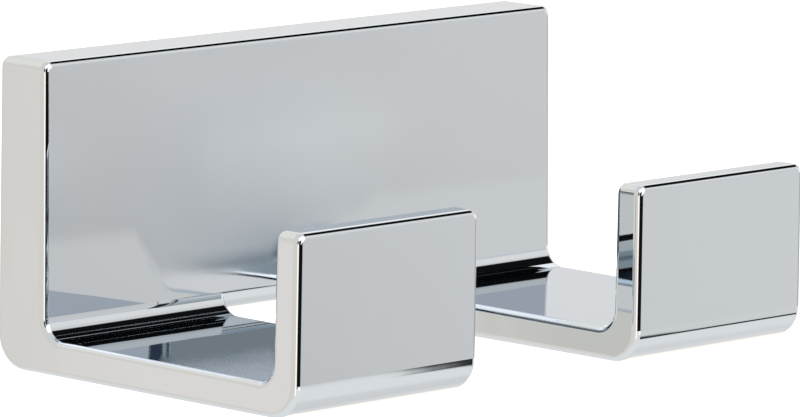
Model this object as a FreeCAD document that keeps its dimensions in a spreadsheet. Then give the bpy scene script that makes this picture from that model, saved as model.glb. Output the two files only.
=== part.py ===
import FreeCAD, Part
import Sketcher
import math
import os

# Double robe hook: one casting with a square hook at each end of its plate, a hidden bracket that the
# casting hangs on, and the set screw that locks them. Millimetres, +Z up. The origin is on the wall,
# midway between the bracket's two screw holes, and the hooks point to -Y.

doc = FreeCAD.newDocument("double_robe_hook")
sheet = doc.addObject("Spreadsheet::Sheet", "sizes")

drivingSizes = [
    ("plate_width", 100.0, "across both hooks"),
    ("plate_height", 42.5, "from the hooks' underside to the plate's top"),
    ("plate_thickness", 9.4, "at the arms' top face, from the wall out"),
    ("plate_draft", 0.5, "thickness that the plate loses up to its top"),
    ("hook_reach", 57.6, "from the wall to the front of the tabs"),
    ("hook_width", 34.3, "width of each arm and its tab"),
    ("side_draft", 0.43, "slope of the outer sides, in degrees"),
    ("arm_thickness", 4.8, "at the plate"),
    ("arm_draft", 0.25, "thickness that the arm loses out to its tab"),
    ("tab_thickness", 4.5, "at the arm"),
    ("tab_draft", 0.2, "thickness that the tab loses up to its top"),
    ("tab_height", 24.9, "from the hooks' underside to the tabs' top"),
    ("bend_radius", 4.8, "outer bends, at the wall and under the tab"),
    ("heel_radius", 3.0, "inner bend between plate and arm, and the plate's lower edge"),
    ("toe_radius", 2.8, "inner bend between arm and tab"),
    ("corner_radius", 1.4, "corners of the plate and the tabs, seen from the front"),
    ("edge_radius", 0.9, "rounding along every other edge"),
    ("casting_wall", 2.5, "wall round the hollow back"),
    ("rib_thickness", 1.8, "ribs beside the bracket"),
    ("end_core", 9.3, "width of the hollow at each end of the plate, outside the rib"),
    ("core_radius", 1.2, "corners of the hollow back"),
    ("gap_above", 3.2, "over the bracket, up to the top of the hollow"),
    ("gap_below", 3.5, "under the bracket, down to the foot of the hollow"),
    ("gap_in_front", 0.8, "between the bracket and the front of the hollow"),
    ("bracket_corner", 1.0, "rounding of the bracket's four corners"),
    ("bevel_angle", 30.0, "bevel of the bracket's top and bottom edges, in degrees"),
    ("screw_inset", 12.0, "from the bracket's ends to the wall screws"),
    ("screw_hole", 4.5, "diameter of the holes for the wall screws"),
    ("screw_sink", 9.0, "diameter of their countersinks"),
    ("sink_angle", 90.0, "angle of the countersinks, in degrees"),
    ("seat_gap", 0.1, "between the casting, the bracket and the set screw where they seat"),
    ("side_gap", 0.4, "between the bracket's ends and the ribs"),
    ("lug_width", 11.0, "each of the two lugs that hook over the bracket"),
    ("lug_inset", 13.0, "from the bracket's ends to the middles of the lugs"),
    ("boss_width", 8.5, "boss that the set screw is threaded through"),
    ("boss_gap", 1.0, "between the boss and the bracket"),
    ("grub_diameter", 4.0, "set screw"),
    ("grub_length", 6.0, "set screw, with its point"),
    ("grub_chamfer", 0.4, "at the set screw's lower end"),
    ("grub_depth", 3.4, "set screw's axis, from the wall out"),
    ("thread_gap", 0.05, "between the set screw and its hole"),
    ("socket_size", 2.0, "across the flats of the set screw's hexagon socket"),
    ("socket_depth", 2.2, "depth of that socket"),
]
for row, (alias, value, note) in enumerate(drivingSizes, start=1):
    sheet.set("A%d" % row, alias.replace("_", " "))
    sheet.set("B%d" % row, str(value))
    sheet.set("C%d" % row, note)
    sheet.setAlias("B%d" % row, alias)
doc.recompute()

near = 0.01  # places that are closer than this are the same
creaseAngle = 0.2  # radians: faces that meet at less than this are smooth
startSize = 10.0  # where a sketch's points lie until its constraints place them


def size(alias):
    return float(getattr(sheet, alias))


def newBody(name):
    body = doc.addObject("PartDesign::Body", name)
    body.Label = name
    return body


def originItem(body, role):
    return (next(item for item in body.Origin.OriginFeatures if item.Role == role), [""])


def newSketch(body, name, role, offset="0 mm"):
    sketch = body.newObject("Sketcher::SketchObject", name)
    sketch.AttachmentSupport = originItem(body, role)
    sketch.MapMode = "FlatFace"
    sketch.setExpression("AttachmentOffset.Base.z", offset)
    return sketch


def pin(sketch, geometry, point, name, across, up):
    # Fixes one point of a sketch at a place given by two expressions.
    for kind, letter, expression in (("DistanceX", "x", across), ("DistanceY", "y", up)):
        index = sketch.addConstraint(Sketcher.Constraint(kind, -1, 1, geometry, point, startSize))
        sketch.renameConstraint(index, name + letter)
        sketch.setExpression("Constraints." + name + letter, expression)


def drawOutline(sketch, corners):
    # A closed outline of straight edges through corners that are given as pairs of expressions.
    first = sketch.GeometryCount
    count = len(corners)
    places = []
    for number in range(count):
        turn = FreeCAD.Rotation(FreeCAD.Vector(0, 0, 1), 360.0 * number / count)
        places.append(turn.multVec(FreeCAD.Vector(startSize, 0, 0)))
    for number in range(count):
        sketch.addGeometry(Part.LineSegment(places[number], places[(number + 1) % count]))
    for number in range(count):
        following = first + (number + 1) % count
        sketch.addConstraint(Sketcher.Constraint("Coincident", first + number, 2, following, 1))
    for number, (across, up) in enumerate(corners):
        pin(sketch, first + number, 1, "corner%d" % (first + number), across, up)


def drawRectangle(sketch, left, right, bottom, top):
    drawOutline(sketch, [(left, bottom), (right, bottom), (right, top), (left, top)])


def drawCircle(sketch, name, across, up, radius):
    index = sketch.addGeometry(Part.Circle(FreeCAD.Vector(0, 0, 0), FreeCAD.Vector(0, 0, 1), startSize))
    pin(sketch, index, 3, name, across, up)
    constraint = sketch.addConstraint(Sketcher.Constraint("Radius", index, startSize))
    sketch.renameConstraint(constraint, name + "radius")
    sketch.setExpression("Constraints." + name + "radius", radius)


def addPad(body, name, sketch, length, symmetric=False, reverse=False):
    pad = body.newObject("PartDesign::Pad", name)
    pad.Profile = sketch
    pad.SideType = "Symmetric" if symmetric else "One side"
    pad.Reversed = reverse
    pad.setExpression("Length", length)
    doc.recompute()
    return pad


def addPocket(body, name, sketch, length=None, reverse=False):
    before = body.Shape.Volume
    pocket = body.newObject("PartDesign::Pocket", name)
    pocket.Profile = sketch
    pocket.Reversed = reverse
    if length is None:
        pocket.Type = "ThroughAll"
    else:
        pocket.setExpression("Length", length)
    doc.recompute()
    if body.Shape.Volume >= before:
        raise RuntimeError(name + " cuts nothing")
    return pocket


def addFillet(body, name, base, edges, radius):
    if not edges:
        raise RuntimeError(name + " has no edges")
    fillet = body.newObject("PartDesign::Fillet", name)
    fillet.Base = (base, edges)
    fillet.setExpression("Radius", radius)
    doc.recompute()
    return fillet


def middle(edge):
    return edge.valueAt((edge.FirstParameter + edge.LastParameter) / 2)


def edgesWhere(feature, wanted):
    edges = feature.Shape.Edges
    return ["Edge%d" % (number + 1) for number, edge in enumerate(edges) if wanted(edge)]


def runsAlong(edge, axis):
    span = edge.lastVertex().Point - edge.firstVertex().Point
    return edge.Length > near and span.cross(axis).Length < near


def edgesThrough(feature, axis, places):
    # The edges parallel to an axis whose middle lies on one of these places, seen along the axis.
    def wanted(edge):
        point = middle(edge)
        gaps = [(point - place) - axis * (point - place).dot(axis) for place in places]
        return runsAlong(edge, axis) and min(gap.Length for gap in gaps) < near

    return edgesWhere(feature, wanted)


def sharpEdges(feature):
    # Every edge where two faces meet at an angle, so not the seams that earlier roundings left.
    def wanted(edge):
        faces = feature.Shape.ancestorsOfType(edge, Part.Face)
        point = middle(edge)
        normals = [face.normalAt(*face.Surface.parameter(point)) for face in faces]
        return len(normals) == 2 and normals[0].getAngle(normals[1]) > creaseAngle

    return edgesWhere(feature, wanted)


alongX = FreeCAD.Vector(1, 0, 0)
alongY = FreeCAD.Vector(0, 1, 0)

# The hollow in the casting's back, measured from the wall and from the hooks' underside.
coreDepth = "(sizes.plate_thickness - sizes.plate_draft - sizes.casting_wall)"
coreFoot = "(sizes.arm_thickness + sizes.casting_wall)"
coreTop = "(sizes.plate_height - sizes.casting_wall)"
endCoreOuter = "(sizes.plate_width / 2 - sizes.casting_wall)"
endCoreInner = "(" + endCoreOuter + " - sizes.end_core)"
coreSide = "(" + endCoreInner + " - sizes.rib_thickness)"

# The bracket fills the middle of the hollow, and its centre is the row's origin.
bracketWidth = "(2 * (" + coreSide + " - sizes.side_gap))"
bracketHeight = "(" + coreTop + " - " + coreFoot + " - sizes.gap_above - sizes.gap_below)"
bracketThickness = "(" + coreDepth + " - sizes.gap_in_front)"
wallCentre = "(" + coreFoot + " + sizes.gap_below + " + bracketHeight + " / 2)"
rise = "tan(sizes.bevel_angle * 1 deg)"
seatGapUp = "sizes.seat_gap / cos(sizes.bevel_angle * 1 deg)"

# The pair of J hooks. Each is drawn from the side: the limb that lies in the plate, the arm and the tab,
# with sharp corners that the bends then round. Its outer side leans inwards from the underside up.
hookPair = newBody("hook_pair")
sideView = newSketch(hookPair, "hook_side_view", "YZ_Plane", "-sizes.plate_width / 2")
tabBack = "-(sizes.hook_reach - sizes.tab_thickness)"
drawOutline(sideView, [
    ("0 mm", "0 mm"),
    ("-sizes.hook_reach", "0 mm"),
    ("-sizes.hook_reach", "sizes.tab_height"),
    (tabBack + " - sizes.tab_draft", "sizes.tab_height"),
    (tabBack, "sizes.arm_thickness - sizes.arm_draft"),
    ("-sizes.plate_thickness", "sizes.arm_thickness"),
    ("-(sizes.plate_thickness - sizes.plate_draft)", "sizes.plate_height"),
    ("0 mm", "sizes.plate_height"),
])
hookBlank = addPad(hookPair, "hook_blank", sideView, "sizes.hook_width")
outerSide = -size("plate_width") / 2
innerSide = outerSide + size("hook_width")


def isOuterSide(face):
    return abs(face.CenterOfMass.x - outerSide) < near


def outerSideAt(height):
    return outerSide + height * math.tan(math.radians(size("side_draft")))


sideDraft = hookPair.newObject("PartDesign::Draft", "side_draft")
doc.recompute()
blankFaces = enumerate(hookBlank.Shape.Faces, start=1)
sideDraft.Base = (hookBlank, ["Face%d" % number for number, face in blankFaces if isOuterSide(face)])
sideDraft.NeutralPlane = originItem(hookPair, "XY_Plane")
sideDraft.PullDirection = originItem(hookPair, "Z_Axis")
sideDraft.setExpression("Angle", "sizes.side_draft * 1 deg")
doc.recompute()

outerBends = addFillet(hookPair, "outer_bends", sideDraft, edgesThrough(sideDraft, alongX, [
    FreeCAD.Vector(0, 0, 0),
    FreeCAD.Vector(0, -size("hook_reach"), 0),
]), "sizes.bend_radius")
heel = FreeCAD.Vector(0, -size("plate_thickness"), size("arm_thickness"))
heelBend = addFillet(hookPair, "heel_bend", outerBends, edgesThrough(outerBends, alongX, [heel]),
                     "sizes.heel_radius")
toe = FreeCAD.Vector(0, size("tab_thickness") - size("hook_reach"), size("arm_thickness") - size("arm_draft"))
toeBend = addFillet(hookPair, "toe_bend", heelBend, edgesThrough(heelBend, alongX, [toe]),
                    "sizes.toe_radius")

topCorners = [
    FreeCAD.Vector(side, 0, top)
    for top in (size("tab_height"), size("plate_height"))
    for side in (outerSideAt(top), innerSide)
]
corners = addFillet(hookPair, "top_corners", toeBend, edgesThrough(toeBend, alongY, topCorners),
                    "sizes.corner_radius")
softEdges = addFillet(hookPair, "soft_edges", corners, sharpEdges(corners), "sizes.edge_radius")
bothHooks = hookPair.newObject("PartDesign::Mirrored", "both_hooks")
bothHooks.TransformMode = "Whole shape"
bothHooks.MirrorPlane = originItem(hookPair, "YZ_Plane")
hookPair.Tip = bothHooks
doc.recompute()

# The casting. Its plate spans the two hooks; between them its lower edge is level with the arms' top
# face and has the same radius as the bend beside it.
casting = newBody("hook_body")
casting.setExpression("Placement.Base.z", "-" + wallCentre)
plateView = newSketch(casting, "plate_side_view", "YZ_Plane")
drawOutline(plateView, [
    ("0 mm", "sizes.arm_thickness"),
    ("-sizes.plate_thickness", "sizes.arm_thickness"),
    ("-(sizes.plate_thickness - sizes.plate_draft)", "sizes.plate_height"),
    ("0 mm", "sizes.plate_height"),
])
plate = addPad(casting, "plate", plateView, "sizes.plate_width - sizes.hook_width", symmetric=True)
lowerEdge = addFillet(casting, "plate_lower_edge", plate, edgesThrough(plate, alongX, [heel]),
                      "sizes.heel_radius")
addFillet(casting, "plate_edges", lowerEdge, edgesThrough(lowerEdge, alongX, [
    FreeCAD.Vector(0, 0, size("arm_thickness")),
    FreeCAD.Vector(0, 0, size("plate_height")),
    FreeCAD.Vector(0, size("plate_draft") - size("plate_thickness"), size("plate_height")),
]), "sizes.edge_radius")
joined = casting.newObject("PartDesign::Boolean", "plate_with_hooks")
joined.Type = "Fuse"
joined.setObjects([hookPair])
doc.recompute()

# The hollow back: a middle core that takes the bracket and a lighter core at each end, with a rib between.
backView = newSketch(casting, "cores_back_view", "XZ_Plane")
drawRectangle(backView, "-" + coreSide, coreSide, coreFoot, coreTop)
drawRectangle(backView, endCoreInner, endCoreOuter, coreFoot, coreTop)
drawRectangle(backView, "-" + endCoreOuter, "-" + endCoreInner, coreFoot, coreTop)
cores = addPocket(casting, "cores", backView, coreDepth, reverse=True)


def isCoreCorner(edge):
    # The corners of the cores are the only edges that run straight in from the wall plane.
    return runsAlong(edge, alongY) and abs(edge.BoundBox.YMax) < near


addFillet(casting, "core_corners", cores, edgesWhere(cores, isCoreCorner), "sizes.core_radius")

# Two lugs hang from the top wall of the middle core. Their undersides slope like the bracket's bevel.
intoWall = "sizes.casting_wall / 2"
lugDepth = "(" + coreDepth + " + " + intoWall + ")"
seatAtFront = "(" + wallCentre + " + " + bracketHeight + " / 2 + " + seatGapUp + ")"
lugView = newSketch(casting, "lug_side_view", "YZ_Plane", bracketWidth + " / 2 - sizes.lug_inset")
drawOutline(lugView, [
    ("0 mm", seatAtFront + " - " + bracketThickness + " * " + rise),
    ("-" + lugDepth, seatAtFront + " + (" + lugDepth + " - " + bracketThickness + ") * " + rise),
    ("-" + lugDepth, coreTop + " + " + intoWall),
    ("0 mm", coreTop + " + " + intoWall),
])
lug = addPad(casting, "right_lug", lugView, "sizes.lug_width", symmetric=True)
lugs = casting.newObject("PartDesign::Mirrored", "left_lug")
lugs.Originals = [lug]
lugs.MirrorPlane = originItem(casting, "YZ_Plane")
casting.Tip = lugs
doc.recompute()

# The boss that the set screw is threaded through, and its hole from the plate's lower edge.
bossTop = "(" + wallCentre + " - " + bracketHeight + " / 2 - sizes.boss_gap)"
bossView = newSketch(casting, "boss_back_view", "XZ_Plane")
drawRectangle(bossView, "-sizes.boss_width / 2", "sizes.boss_width / 2", coreFoot + " - " + intoWall, bossTop)
addPad(casting, "boss", bossView, lugDepth)
grubView = newSketch(casting, "grub_hole_plan", "XY_Plane", bossTop + " + " + intoWall)
drawCircle(grubView, "grub", "0 mm", "-sizes.grub_depth", "sizes.grub_diameter / 2 + sizes.thread_gap")
addPocket(casting, "grub_hole", grubView)

# The bracket, drawn about its own centre: taller at its front than at the wall.
bracket = newBody("wall_bracket")
endView = newSketch(bracket, "bracket_end_view", "YZ_Plane")
heightAtWall = "(" + bracketHeight + " / 2 - " + bracketThickness + " * " + rise + ")"
drawOutline(endView, [
    ("0 mm", "-" + heightAtWall),
    ("-" + bracketThickness, "-" + bracketHeight + " / 2"),
    ("-" + bracketThickness, bracketHeight + " / 2"),
    ("0 mm", heightAtWall),
])
bracketBlank = addPad(bracket, "bracket_blank", endView, bracketWidth, symmetric=True)


def isEndCorner(edge):
    # The four slanting edges at the bracket's ends.
    span = edge.lastVertex().Point - edge.firstVertex().Point
    return abs(span.x) < near and abs(span.y) > near and abs(span.z) > near


addFillet(bracket, "bracket_corners", bracketBlank, edgesWhere(bracketBlank, isEndCorner),
          "sizes.bracket_corner")
screwPlace = "(" + bracketWidth + " / 2 - sizes.screw_inset)"
holePlan = newSketch(bracket, "wall_screw_places", "XZ_Plane", bracketThickness)
drawCircle(holePlan, "left", "-" + screwPlace, "0 mm", "sizes.screw_hole / 2")
drawCircle(holePlan, "right", screwPlace, "0 mm", "sizes.screw_hole / 2")
doc.recompute()
screwHoles = bracket.newObject("PartDesign::Hole", "wall_screw_holes")
screwHoles.Profile = holePlan
screwHoles.DepthType = "ThroughAll"
screwHoles.HoleCutType = "Countersink"
screwHoles.HoleCutCustomValues = True
screwHoles.setExpression("Diameter", "sizes.screw_hole")
screwHoles.setExpression("HoleCutDiameter", "sizes.screw_sink")
screwHoles.setExpression("HoleCutCountersinkAngle", "sizes.sink_angle * 1 deg")
doc.recompute()

# The set screw, drawn about its own axis. The flank of its point is parallel to the bracket's bevel.
grub = newBody("set_screw")
grubProfile = newSketch(grub, "grub_half_section", "XZ_Plane")
pointHeight = "sizes.grub_diameter / 2 * " + rise
drawOutline(grubProfile, [
    ("0 mm", "0 mm"),
    ("sizes.grub_diameter / 2 - sizes.grub_chamfer", "0 mm"),
    ("sizes.grub_diameter / 2", "sizes.grub_chamfer"),
    ("sizes.grub_diameter / 2", "sizes.grub_length - " + pointHeight),
    ("0 mm", "sizes.grub_length"),
])
doc.recompute()
grubBlank = grub.newObject("PartDesign::Revolution", "grub_blank")
grubBlank.Profile = grubProfile
grubBlank.ReferenceAxis = (grubProfile, ["V_Axis"])
grubBlank.Angle = 360
doc.recompute()
socketPlan = newSketch(grub, "socket_plan", "XY_Plane")
drawOutline(socketPlan, [
    (
        "sizes.socket_size / sqrt(3) * cos(%d deg)" % turn,
        "sizes.socket_size / sqrt(3) * sin(%d deg)" % turn,
    )
    for turn in range(0, 360, 60)
])
addPocket(grub, "socket", socketPlan, "sizes.socket_depth", reverse=True)
bevelAtGrub = "(-" + bracketHeight + " / 2 + (" + bracketThickness + " - sizes.grub_depth) * " + rise + ")"
grub.setExpression("Placement.Base.y", "-sizes.grub_depth")
grub.setExpression("Placement.Base.z", bevelAtGrub + " - " + seatGapUp + " - sizes.grub_length")
doc.recompute()

pieces = [casting, bracket, grub]
for item in doc.Objects:
    if "Invalid" in item.State or "Error" in item.State:
        raise RuntimeError(item.Label + " failed")
for piece in pieces:
    if piece.Shape.isNull() or not piece.Shape.isValid() or len(piece.Shape.Solids) != 1:
        raise RuntimeError(piece.Label + " is not one valid solid")
os.makedirs("parts", exist_ok=True)
for piece in pieces:
    piece.Shape.exportStep("parts/" + piece.Label + ".step")
    print(piece.Label, round(piece.Shape.Volume, 1), "mm3")
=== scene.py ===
import math

import bpy
from mathutils import Matrix, Vector

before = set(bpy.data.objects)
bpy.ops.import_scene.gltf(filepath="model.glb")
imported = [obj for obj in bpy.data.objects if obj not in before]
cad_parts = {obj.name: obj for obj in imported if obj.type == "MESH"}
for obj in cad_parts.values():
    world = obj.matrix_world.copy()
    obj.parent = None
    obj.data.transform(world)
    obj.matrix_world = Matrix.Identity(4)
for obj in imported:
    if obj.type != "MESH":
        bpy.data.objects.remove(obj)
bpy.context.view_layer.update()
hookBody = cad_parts["hook_body"]
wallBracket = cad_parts["wall_bracket"]
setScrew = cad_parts["set_screw"]
millimetre = 0.001


def linear(hexColour):
    # sRGB hex to the linear colour that the shaders take
    channels = [int(hexColour[i:i + 2], 16) / 255 for i in (1, 3, 5)]
    return [c / 12.92 if c <= 0.04045 else ((c + 0.055) / 1.055) ** 2.4 for c in channels] + [1]


def node(tree, kind, links=None, **settings):
    # adds a node, with its settings by name and its links or values by socket
    new = tree.nodes.new(kind)
    for name, value in settings.items():
        setattr(new, name, value)
    for socket, value in (links or {}).items():
        if isinstance(value, bpy.types.NodeSocket):
            tree.links.new(value, new.inputs[socket])
        else:
            new.inputs[socket].default_value = value
    return new


def newMaterial(name):
    material = bpy.data.materials.new(name)
    material.use_nodes = True
    material.node_tree.nodes.clear()
    return material, material.node_tree


def dress(piece, material):
    piece.data.materials.clear()
    piece.data.materials.append(material)


# Decorative chrome over a polished zinc die casting: a bright, slightly blue mirror. The wheel leaves faint
# long waves and a little haze in it. The hollow back is plated too but was never polished, so it is satin
# and grainy.
chromePlate = {
    "colour": "#C1CBD3",
    "edgeTint": "#E8EAEC",
    "haze": (0.012, 0.035),  # roughness, from clear to cloudy
    "hazeSize": 9.0,  # mm
    "hazeDetail": 3.0,
    "hazeContrast": (0.35, 0.7),
    "waveLength": 11.0,  # mm, left by the polishing wheel
    "waveDetail": 1.0,
    "waveHeight": 0.02,  # mm
    "plateHaze": 0.27,  # the plate's broad face, which is buffed less hard than the bends
    "plateFace": ((-48.9, -9.6, -30.0), (48.9, -8.75, 17.8)),  # mm, two corners of its box
    "plateHazeStart": -9.0,  # mm up from the origin, where that haze sets in
    "plateHazeSlopes": (  # mm across from, to, and how much higher it sets in past there
        (-33.0, -28.0, -6.2), (-7.0, -3.0, 4.2), (10.0, 14.0, 2.0),
    ),
    "plateHazeRise": 6.0,  # mm from there to its full strength
    "castColour": "#A3A8AC",
    "castRoughness": (0.3, 0.46),
    "hollowBack": ((-47.6, -7.2, -16.6), (47.6, 1.0, 16.3)),  # mm, two corners of its box
    "grainSize": 0.45,  # mm, the die's skin, drawn coarser than it is
    "grainDetail": 4.0,
    "grainContrast": (0.3, 0.7),
    "grainHeight": 0.03,  # mm
}


def steppedLine(tree, along, level, slopes):
    # a level that changes over each start and end along another value
    for start, end, change in slopes:
        slope = node(tree, "ShaderNodeMapRange", {
            "Value": along, "From Min": start, "From Max": end, "To Min": 0.0, "To Max": change,
        })
        level = node(tree, "ShaderNodeMath", {0: slope.outputs[0], 1: level}, operation="ADD").outputs[0]
    return level


def insideBox(tree, place, corners):
    # 1 between the two corners of an upright box, 0 outside it
    middle = [(low + high) / 2 for low, high in zip(*corners)]
    half = [(high - low) / 2 for low, high in zip(*corners)]
    fromMiddle = node(tree, "ShaderNodeVectorMath", {0: place, 1: middle}, operation="SUBTRACT")
    away = node(tree, "ShaderNodeVectorMath", {0: fromMiddle.outputs[0]}, operation="ABSOLUTE")
    over = node(tree, "ShaderNodeVectorMath", {0: away.outputs[0], 1: half}, operation="SUBTRACT")
    axes = node(tree, "ShaderNodeSeparateXYZ", {0: over.outputs[0]}).outputs
    furthest = node(tree, "ShaderNodeMath", {0: axes["X"], 1: axes["Y"]}, operation="MAXIMUM")
    furthest = node(tree, "ShaderNodeMath", {0: furthest.outputs[0], 1: axes["Z"]}, operation="MAXIMUM")
    return node(tree, "ShaderNodeMath", {0: furthest.outputs[0], 1: 0.0}, operation="LESS_THAN").outputs[0]


def chromeMaterial():
    look = chromePlate
    material, tree = newMaterial("polished chrome")
    metres = node(tree, "ShaderNodeTexCoord").outputs["Object"]
    place = node(tree, "ShaderNodeVectorMath", {
        0: metres, "Scale": 1 / millimetre,
    }, operation="SCALE").outputs[0]
    axes = node(tree, "ShaderNodeSeparateXYZ", {0: place}).outputs
    asCast = insideBox(tree, place, look["hollowBack"])
    onPlate = insideBox(tree, place, look["plateFace"])

    clouds = node(tree, "ShaderNodeTexNoise", {
        "Vector": place, "Scale": 1 / look["hazeSize"], "Detail": look["hazeDetail"],
    })
    polished = node(tree, "ShaderNodeMapRange", {
        "Value": clouds.outputs["Fac"],
        "From Min": look["hazeContrast"][0], "From Max": look["hazeContrast"][1],
        "To Min": look["haze"][0], "To Max": look["haze"][1],
    })
    start = steppedLine(tree, axes["X"], look["plateHazeStart"], look["plateHazeSlopes"])
    above = node(tree, "ShaderNodeMath", {0: axes["Z"], 1: start}, operation="SUBTRACT")
    higher = node(tree, "ShaderNodeMapRange", {
        "Value": above.outputs[0], "From Max": look["plateHazeRise"],
    }, interpolation_type="SMOOTHSTEP")
    lessBuffed = node(tree, "ShaderNodeMath", {0: onPlate, 1: higher.outputs[0]}, operation="MULTIPLY")
    outside = node(tree, "ShaderNodeMix", {
        0: lessBuffed.outputs[0], 2: polished.outputs[0], 3: look["plateHaze"],
    })
    grain = node(tree, "ShaderNodeTexNoise", {
        "Vector": place, "Scale": 1 / look["grainSize"], "Detail": look["grainDetail"],
    })
    satin = node(tree, "ShaderNodeMapRange", {
        "Value": grain.outputs["Fac"],
        "From Min": look["grainContrast"][0], "From Max": look["grainContrast"][1],
        "To Min": look["castRoughness"][0], "To Max": look["castRoughness"][1],
    })
    roughness = node(tree, "ShaderNodeMix", {0: asCast, 2: outside.outputs[0], 3: satin.outputs[0]})
    colour = node(tree, "ShaderNodeMix", {
        0: asCast, 6: linear(look["colour"]), 7: linear(look["castColour"]),
    }, data_type="RGBA")

    waves = node(tree, "ShaderNodeTexNoise", {
        "Vector": place, "Scale": 1 / look["waveLength"], "Detail": look["waveDetail"],
    })
    waved = node(tree, "ShaderNodeBump", {
        "Height": waves.outputs["Fac"], "Strength": 1.0, "Distance": look["waveHeight"] * millimetre,
    })
    grainOnly = node(tree, "ShaderNodeMath", {0: grain.outputs["Fac"], 1: asCast}, operation="MULTIPLY")
    grained = node(tree, "ShaderNodeBump", {
        "Height": grainOnly.outputs[0], "Strength": 1.0, "Distance": look["grainHeight"] * millimetre,
        "Normal": waved.outputs["Normal"],
    })
    shader = node(tree, "ShaderNodeBsdfPrincipled", {
        "Base Color": colour.outputs[2], "Roughness": roughness.outputs[0], "Metallic": 1.0,
        "Specular Tint": linear(look["edgeTint"]), "Normal": grained.outputs["Normal"],
    })
    node(tree, "ShaderNodeOutputMaterial", {"Surface": shader.outputs["BSDF"]})
    return material


# Bright zinc plate on stamped steel: cool grey, with the sheet's rolling grain along its length and the
# cloudy spangle of the zinc.
zincPlate = {
    "colours": ("#9AA3AD", "#B8BEC3"),
    "spangle": 3.0,  # mm
    "cloud": 6.0,  # mm
    "cloudDetail": 3.0,
    "cloudShare": 0.5,  # of the mottle, the rest is spangle
    "mottleContrast": (0.3, 0.65),
    "grain": 0.3,  # mm across the rolling lines
    "grainDetail": 2.0,
    "grainStretch": 40.0,  # times longer than across
    "grainHeight": 0.006,  # mm
    "roughness": (0.38, 0.24),  # where the zinc is darker and paler
}


def zincMaterial():
    look = zincPlate
    material, tree = newMaterial("bright zinc plate")
    place = node(tree, "ShaderNodeTexCoord").outputs["Object"]
    spangle = node(tree, "ShaderNodeTexVoronoi", {
        "Vector": place, "Scale": 1 / (look["spangle"] * millimetre),
    }, feature="SMOOTH_F1")
    cloud = node(tree, "ShaderNodeTexNoise", {
        "Vector": place, "Scale": 1 / (look["cloud"] * millimetre), "Detail": look["cloudDetail"],
    })
    blotches = node(tree, "ShaderNodeMix", {
        0: look["cloudShare"], 2: spangle.outputs["Distance"], 3: cloud.outputs["Fac"],
    })
    mottle = node(tree, "ShaderNodeMapRange", {
        "Value": blotches.outputs[0],
        "From Min": look["mottleContrast"][0], "From Max": look["mottleContrast"][1],
    })
    colour = node(tree, "ShaderNodeMix", {
        0: mottle.outputs[0], 6: linear(look["colours"][0]), 7: linear(look["colours"][1]),
    }, data_type="RGBA")
    roughness = node(tree, "ShaderNodeMapRange", {
        "Value": mottle.outputs[0], "To Min": look["roughness"][0], "To Max": look["roughness"][1],
    })
    fine = 1 / (look["grain"] * millimetre)
    coarse = fine / look["grainStretch"]
    lines = node(tree, "ShaderNodeMapping", {"Vector": place, "Scale": (coarse, fine, fine)})
    grain = node(tree, "ShaderNodeTexNoise", {
        "Vector": lines.outputs["Vector"], "Scale": 1.0, "Detail": look["grainDetail"],
    })
    bump = node(tree, "ShaderNodeBump", {
        "Height": grain.outputs["Fac"], "Strength": 1.0, "Distance": look["grainHeight"] * millimetre,
    })
    shader = node(tree, "ShaderNodeBsdfPrincipled", {
        "Base Color": colour.outputs[2], "Roughness": roughness.outputs[0], "Metallic": 1.0,
        "Normal": bump.outputs["Normal"],
    })
    node(tree, "ShaderNodeOutputMaterial", {"Surface": shader.outputs["BSDF"]})
    return material


# Turned stainless steel: rings round the screw's axis from the lathe tool, and darker grey than the chrome.
turnedSteel = {
    "colours": ("#8A8A88", "#A9A9A6"),
    "feed": 0.16,  # mm between the rings, drawn coarser than they are
    "ringStretch": 30.0,  # times longer across the screw than along it
    "ringDetail": 2.0,
    "ringContrast": (0.3, 0.7),
    "ringHeight": 0.004,  # mm
    "roughness": (0.34, 0.2),  # where the rings are darker and paler
}


def steelMaterial():
    look = turnedSteel
    material, tree = newMaterial("turned stainless steel")
    place = node(tree, "ShaderNodeTexCoord").outputs["Object"]
    fine = 1 / (look["feed"] * millimetre)
    coarse = fine / look["ringStretch"]
    along = node(tree, "ShaderNodeMapping", {"Vector": place, "Scale": (coarse, coarse, fine)})
    rings = node(tree, "ShaderNodeTexNoise", {
        "Vector": along.outputs["Vector"], "Scale": 1.0, "Detail": look["ringDetail"],
    })
    shade = node(tree, "ShaderNodeMapRange", {
        "Value": rings.outputs["Fac"],
        "From Min": look["ringContrast"][0], "From Max": look["ringContrast"][1],
    })
    colour = node(tree, "ShaderNodeMix", {
        0: shade.outputs[0], 6: linear(look["colours"][0]), 7: linear(look["colours"][1]),
    }, data_type="RGBA")
    roughness = node(tree, "ShaderNodeMapRange", {
        "Value": shade.outputs[0], "To Min": look["roughness"][0], "To Max": look["roughness"][1],
    })
    bump = node(tree, "ShaderNodeBump", {
        "Height": rings.outputs["Fac"], "Strength": 1.0, "Distance": look["ringHeight"] * millimetre,
    })
    shader = node(tree, "ShaderNodeBsdfPrincipled", {
        "Base Color": colour.outputs[2], "Roughness": roughness.outputs[0], "Metallic": 1.0,
        "Normal": bump.outputs["Normal"],
    })
    node(tree, "ShaderNodeOutputMaterial", {"Surface": shader.outputs["BSDF"]})
    return material


dress(hookBody, chromeMaterial())
dress(wallBracket, zincMaterial())
dress(setScrew, steelMaterial())
print("finishes are on the casting, the bracket and the set screw")

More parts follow.
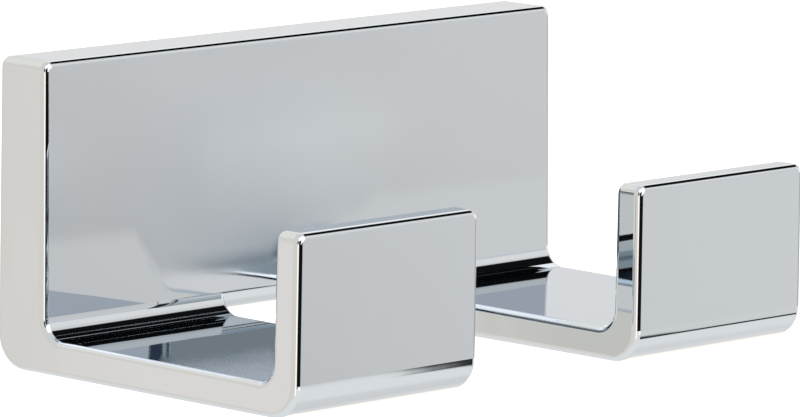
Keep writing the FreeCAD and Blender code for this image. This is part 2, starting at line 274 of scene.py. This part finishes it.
# The studio, as seen from the hook. Places in it are bearings from straight in front, towards the right
# hook, and heights above the horizon, in degrees. A field has half its width and height and a soft border,
# and covers the fields before it.
studio = {
    "walls": (1.09, 1.02, 0.965),
    "bench": (1.27, 1.19, 1.13),
    "benchHeight": -17.0,  # its edge, which rises behind the black card and falls away again to the right
    # bearings from, to, and how much the edge rises between them
    "benchSlopes": ((20.0, 40.0, 4.2), (46.8, 50.0, -7.8), (50.0, 54.0, -5.2)),
    "benchBorder": 1.0,
    "benchEdge": (0.5, 0.8, 2.2),  # how far the dark edge lies under that line, and its two half heights
    "benchEdgeEnds": ((38.0, 40.0), (62.0, 58.0)),  # from nothing to its full strength, at each end
    "edgeLight": (0.03, 0.03, 0.03),
    "fields": [
        # bearing, height, half width, half height, border, light
        (-100, -2, 62, 34, 30, (1.17, 1.03, 0.9)),  # warm wall on the left
        (-135.6, -9, 1.4, 12, 2, (1.28, 1.13, 1.02)),  # bright panel on that wall
        (-131.8, -9, 1.8, 12, 2, (0.97, 0.88, 0.77)),  # shaded panel beside it
        (-36, -14, 12, 16, 8, (2.05, 1.7, 1.48)),  # reflector in front on the left
        (135, 14, 26, 24, 8, (1.16, 1.11, 1.07)),  # pale wall behind, on the right
        (135, 36, 34, 15, 8, (1.6, 1.5, 1.42)),  # the same wall, lit from above
        (178, 40, 36, 16, 6, (1.33, 1.21, 1.07)),  # soft box behind
        (134, -15, 26, 18, 4, (1.83, 1.53, 1.33)),  # light table behind, on the right
        (134, 14, 26, 3.5, 1, (0.95, 0.86, 0.76)),  # shelf on the wall over it
        (95, -48, 30, 6, 6, (1.12, 1.05, 1.0)),  # shadow under the bench
        (30, -4, 14, 12, 14, (0.93, 0.86, 0.81)),  # wall in front, shaded towards the black card
        (30, -14, 16, 3.5, 8, (0.76, 0.7, 0.66)),  # shadow on that wall over the bench
        (45, 22, 30, 9, 6, (1.24, 1.15, 1.08)),  # the wall above
        (45, 10.6, 30, 3.4, 0.4, (0.96, 0.92, 0.93)),  # its picture rail
        (72, -2, 14, 16, 8, (1.75, 1.55, 1.46)),  # window on the right
        (75, -9, 17, 4, 3, (0.72, 0.67, 0.64)),  # dark bar across it
        (24, 6, 15, 26, 4, (2.4, 2.2, 2.08)),  # pale wall behind the black card
        (-9, 6, 17, 14, 4, (0.01, 0.01, 0.01)),  # dark doorway beside it
        (7, -9, 32, 6, 4, (0.01, 0.01, 0.01)),  # black card straight in front
        (84, 43, 22.5, 11, 4, (0.008, 0.008, 0.008)),  # black card over the right side
        (2, 42, 38, 14, 6, (3.1, 2.7, 2.5)),  # soft box above, in front
        (-44, 15, 9, 12, 2, (0.012, 0.012, 0.012)),  # dark stand at the viewer's side
        (-45.7, 11.2, 2, 1.3, 0.5, (0.12, 0.14, 0.2)),  # paler spot on it
    ],
}


def studioWorld():
    look = studio
    world = bpy.data.worlds.new("studio")
    bpy.context.scene.world = world
    world.use_nodes = True
    tree = world.node_tree
    tree.nodes.clear()
    direction = node(tree, "ShaderNodeTexCoord").outputs["Generated"]
    axes = node(tree, "ShaderNodeSeparateXYZ", {0: direction}).outputs
    forward = node(tree, "ShaderNodeMath", {0: axes["Y"], 1: -1.0}, operation="MULTIPLY").outputs[0]
    radians = node(tree, "ShaderNodeMath", {0: axes["X"], 1: forward}, operation="ARCTAN2").outputs[0]
    bearing = node(tree, "ShaderNodeMath", {0: radians}, operation="DEGREES").outputs[0]
    radians = node(tree, "ShaderNodeMath", {0: axes["Z"]}, operation="ARCSINE").outputs[0]
    height = node(tree, "ShaderNodeMath", {0: radians}, operation="DEGREES").outputs[0]

    skyline = steppedLine(tree, bearing, look["benchHeight"], look["benchSlopes"])
    above = node(tree, "ShaderNodeMath", {0: height, 1: skyline}, operation="SUBTRACT").outputs[0]
    onWall = node(tree, "ShaderNodeMapRange", {
        "Value": above, "From Min": -look["benchBorder"] / 2, "From Max": look["benchBorder"] / 2,
    })
    base = node(tree, "ShaderNodeMix", {
        0: onWall.outputs[0], 6: (*look["bench"], 1), 7: (*look["walls"], 1),
    }, data_type="RGBA")
    light = base.outputs[2]
    for turn, lift, halfWidth, halfHeight, border, colour in look["fields"]:
        across = node(tree, "ShaderNodeMath", {0: bearing, 1: float(turn)}, operation="SUBTRACT")
        across = node(tree, "ShaderNodeMath", {0: across.outputs[0], 1: 180.0, 2: -180.0}, operation="WRAP")
        upwards = node(tree, "ShaderNodeMath", {0: height, 1: float(lift)}, operation="SUBTRACT")
        within = []
        for distance, half in ((across, halfWidth), (upwards, halfHeight)):
            away = node(tree, "ShaderNodeMath", {0: distance.outputs[0]}, operation="ABSOLUTE")
            within.append(node(tree, "ShaderNodeMapRange", {
                "Value": away.outputs[0], "From Min": half + border / 2, "From Max": half - border / 2,
            }, interpolation_type="SMOOTHSTEP").outputs[0])
        part = node(tree, "ShaderNodeMath", {0: within[0], 1: within[1]}, operation="MULTIPLY")
        light = node(tree, "ShaderNodeMix", {
            0: part.outputs[0], 6: light, 7: (*colour, 1),
        }, data_type="RGBA").outputs[2]

    under, core, reach = look["benchEdge"]
    below = node(tree, "ShaderNodeMath", {0: above, 1: under}, operation="ADD")
    away = node(tree, "ShaderNodeMath", {0: below.outputs[0]}, operation="ABSOLUTE")
    edge = node(tree, "ShaderNodeMapRange", {
        "Value": away.outputs[0], "From Min": reach, "From Max": core,
    }, interpolation_type="SMOOTHSTEP")
    for faint, full in look["benchEdgeEnds"]:
        fade = node(tree, "ShaderNodeMapRange", {"Value": bearing, "From Min": faint, "From Max": full})
        edge = node(tree, "ShaderNodeMath", {0: edge.outputs[0], 1: fade.outputs[0]}, operation="MULTIPLY")
    light = node(tree, "ShaderNodeMix", {
        0: edge.outputs[0], 6: light, 7: (*look["edgeLight"], 1),
    }, data_type="RGBA").outputs[2]

    rays = node(tree, "ShaderNodeLightPath").outputs
    room = node(tree, "ShaderNodeBackground", {"Color": light, "Strength": 1.0})
    white = node(tree, "ShaderNodeBackground", {"Color": (1, 1, 1, 1), "Strength": 1.0})
    shown = node(tree, "ShaderNodeMixShader", {
        0: rays["Is Camera Ray"], 1: room.outputs[0], 2: white.outputs[0],
    })
    node(tree, "ShaderNodeOutputWorld", {"Surface": shown.outputs[0]})


studioWorld()

# The pale floor lies a little below the hook, which hangs on a wall in use.
floorLook = {
    "height": -0.15,
    "size": 24.0,
    "colour": "#E6E6E4",
    "lift": 0.45,  # glow that only the camera sees, which makes the floor pale
}


def paleFloor():
    bpy.ops.mesh.primitive_plane_add(size=floorLook["size"], location=(0, 0, floorLook["height"]))
    floor = bpy.context.object
    floor.name = "floor"
    floor.visible_glossy = False
    material, tree = newMaterial("pale floor")
    rays = node(tree, "ShaderNodeLightPath").outputs
    paint = node(tree, "ShaderNodeBsdfDiffuse", {"Color": linear(floorLook["colour"])})
    lift = node(tree, "ShaderNodeMath", {
        0: rays["Is Camera Ray"], 1: floorLook["lift"],
    }, operation="MULTIPLY")
    glow = node(tree, "ShaderNodeEmission", {"Color": (1, 1, 1, 1), "Strength": lift.outputs[0]})
    both = node(tree, "ShaderNodeAddShader", {0: paint.outputs[0], 1: glow.outputs[0]})
    # nothing is drawn from below, so that the hook's underside can be looked at through the floor
    underside = node(tree, "ShaderNodeNewGeometry").outputs["Backfacing"]
    clear = node(tree, "ShaderNodeBsdfTransparent")
    oneSided = node(tree, "ShaderNodeMixShader", {0: underside, 1: both.outputs[0], 2: clear.outputs[0]})
    node(tree, "ShaderNodeOutputMaterial", {"Surface": oneSided.outputs[0]})
    dress(floor, material)


paleFloor()
print("studio and floor are ready")

# The photograph was taken with a long lens, from the left and a little above.
view = {
    "place": (-0.67909, -0.68901, 0.1400),
    "azimuth": -45.75,
    "elevation": 8.63,
    "roll": 0.80,
    "lens": 313.15,
    "sensor": 36.0,
    "clip": (0.01, 100.0),
}


def aimCamera():
    azimuth, elevation, roll = (math.radians(view[name]) for name in ("azimuth", "elevation", "roll"))
    back = Vector((
        math.sin(azimuth) * math.cos(elevation),
        -math.cos(azimuth) * math.cos(elevation),
        math.sin(elevation),
    ))
    right = (-back).cross(Vector((0, 0, 1))).normalized()
    up = back.cross(right)
    turnedRight = right * math.cos(roll) + up * math.sin(roll)
    turnedUp = up * math.cos(roll) - right * math.sin(roll)
    data = bpy.data.cameras.new("camera")
    data.lens = view["lens"]
    data.sensor_width = view["sensor"]
    data.clip_start, data.clip_end = view["clip"]
    camera = bpy.data.objects.new("camera", data)
    bpy.context.scene.collection.objects.link(camera)
    turn = Matrix((turnedRight, turnedUp, back)).transposed().to_4x4()
    camera.matrix_world = Matrix.Translation(view["place"]) @ turn
    bpy.context.scene.camera = camera


aimCamera()
bpy.context.scene.view_settings.view_transform = "Standard"
print("camera is at the photograph's angle")
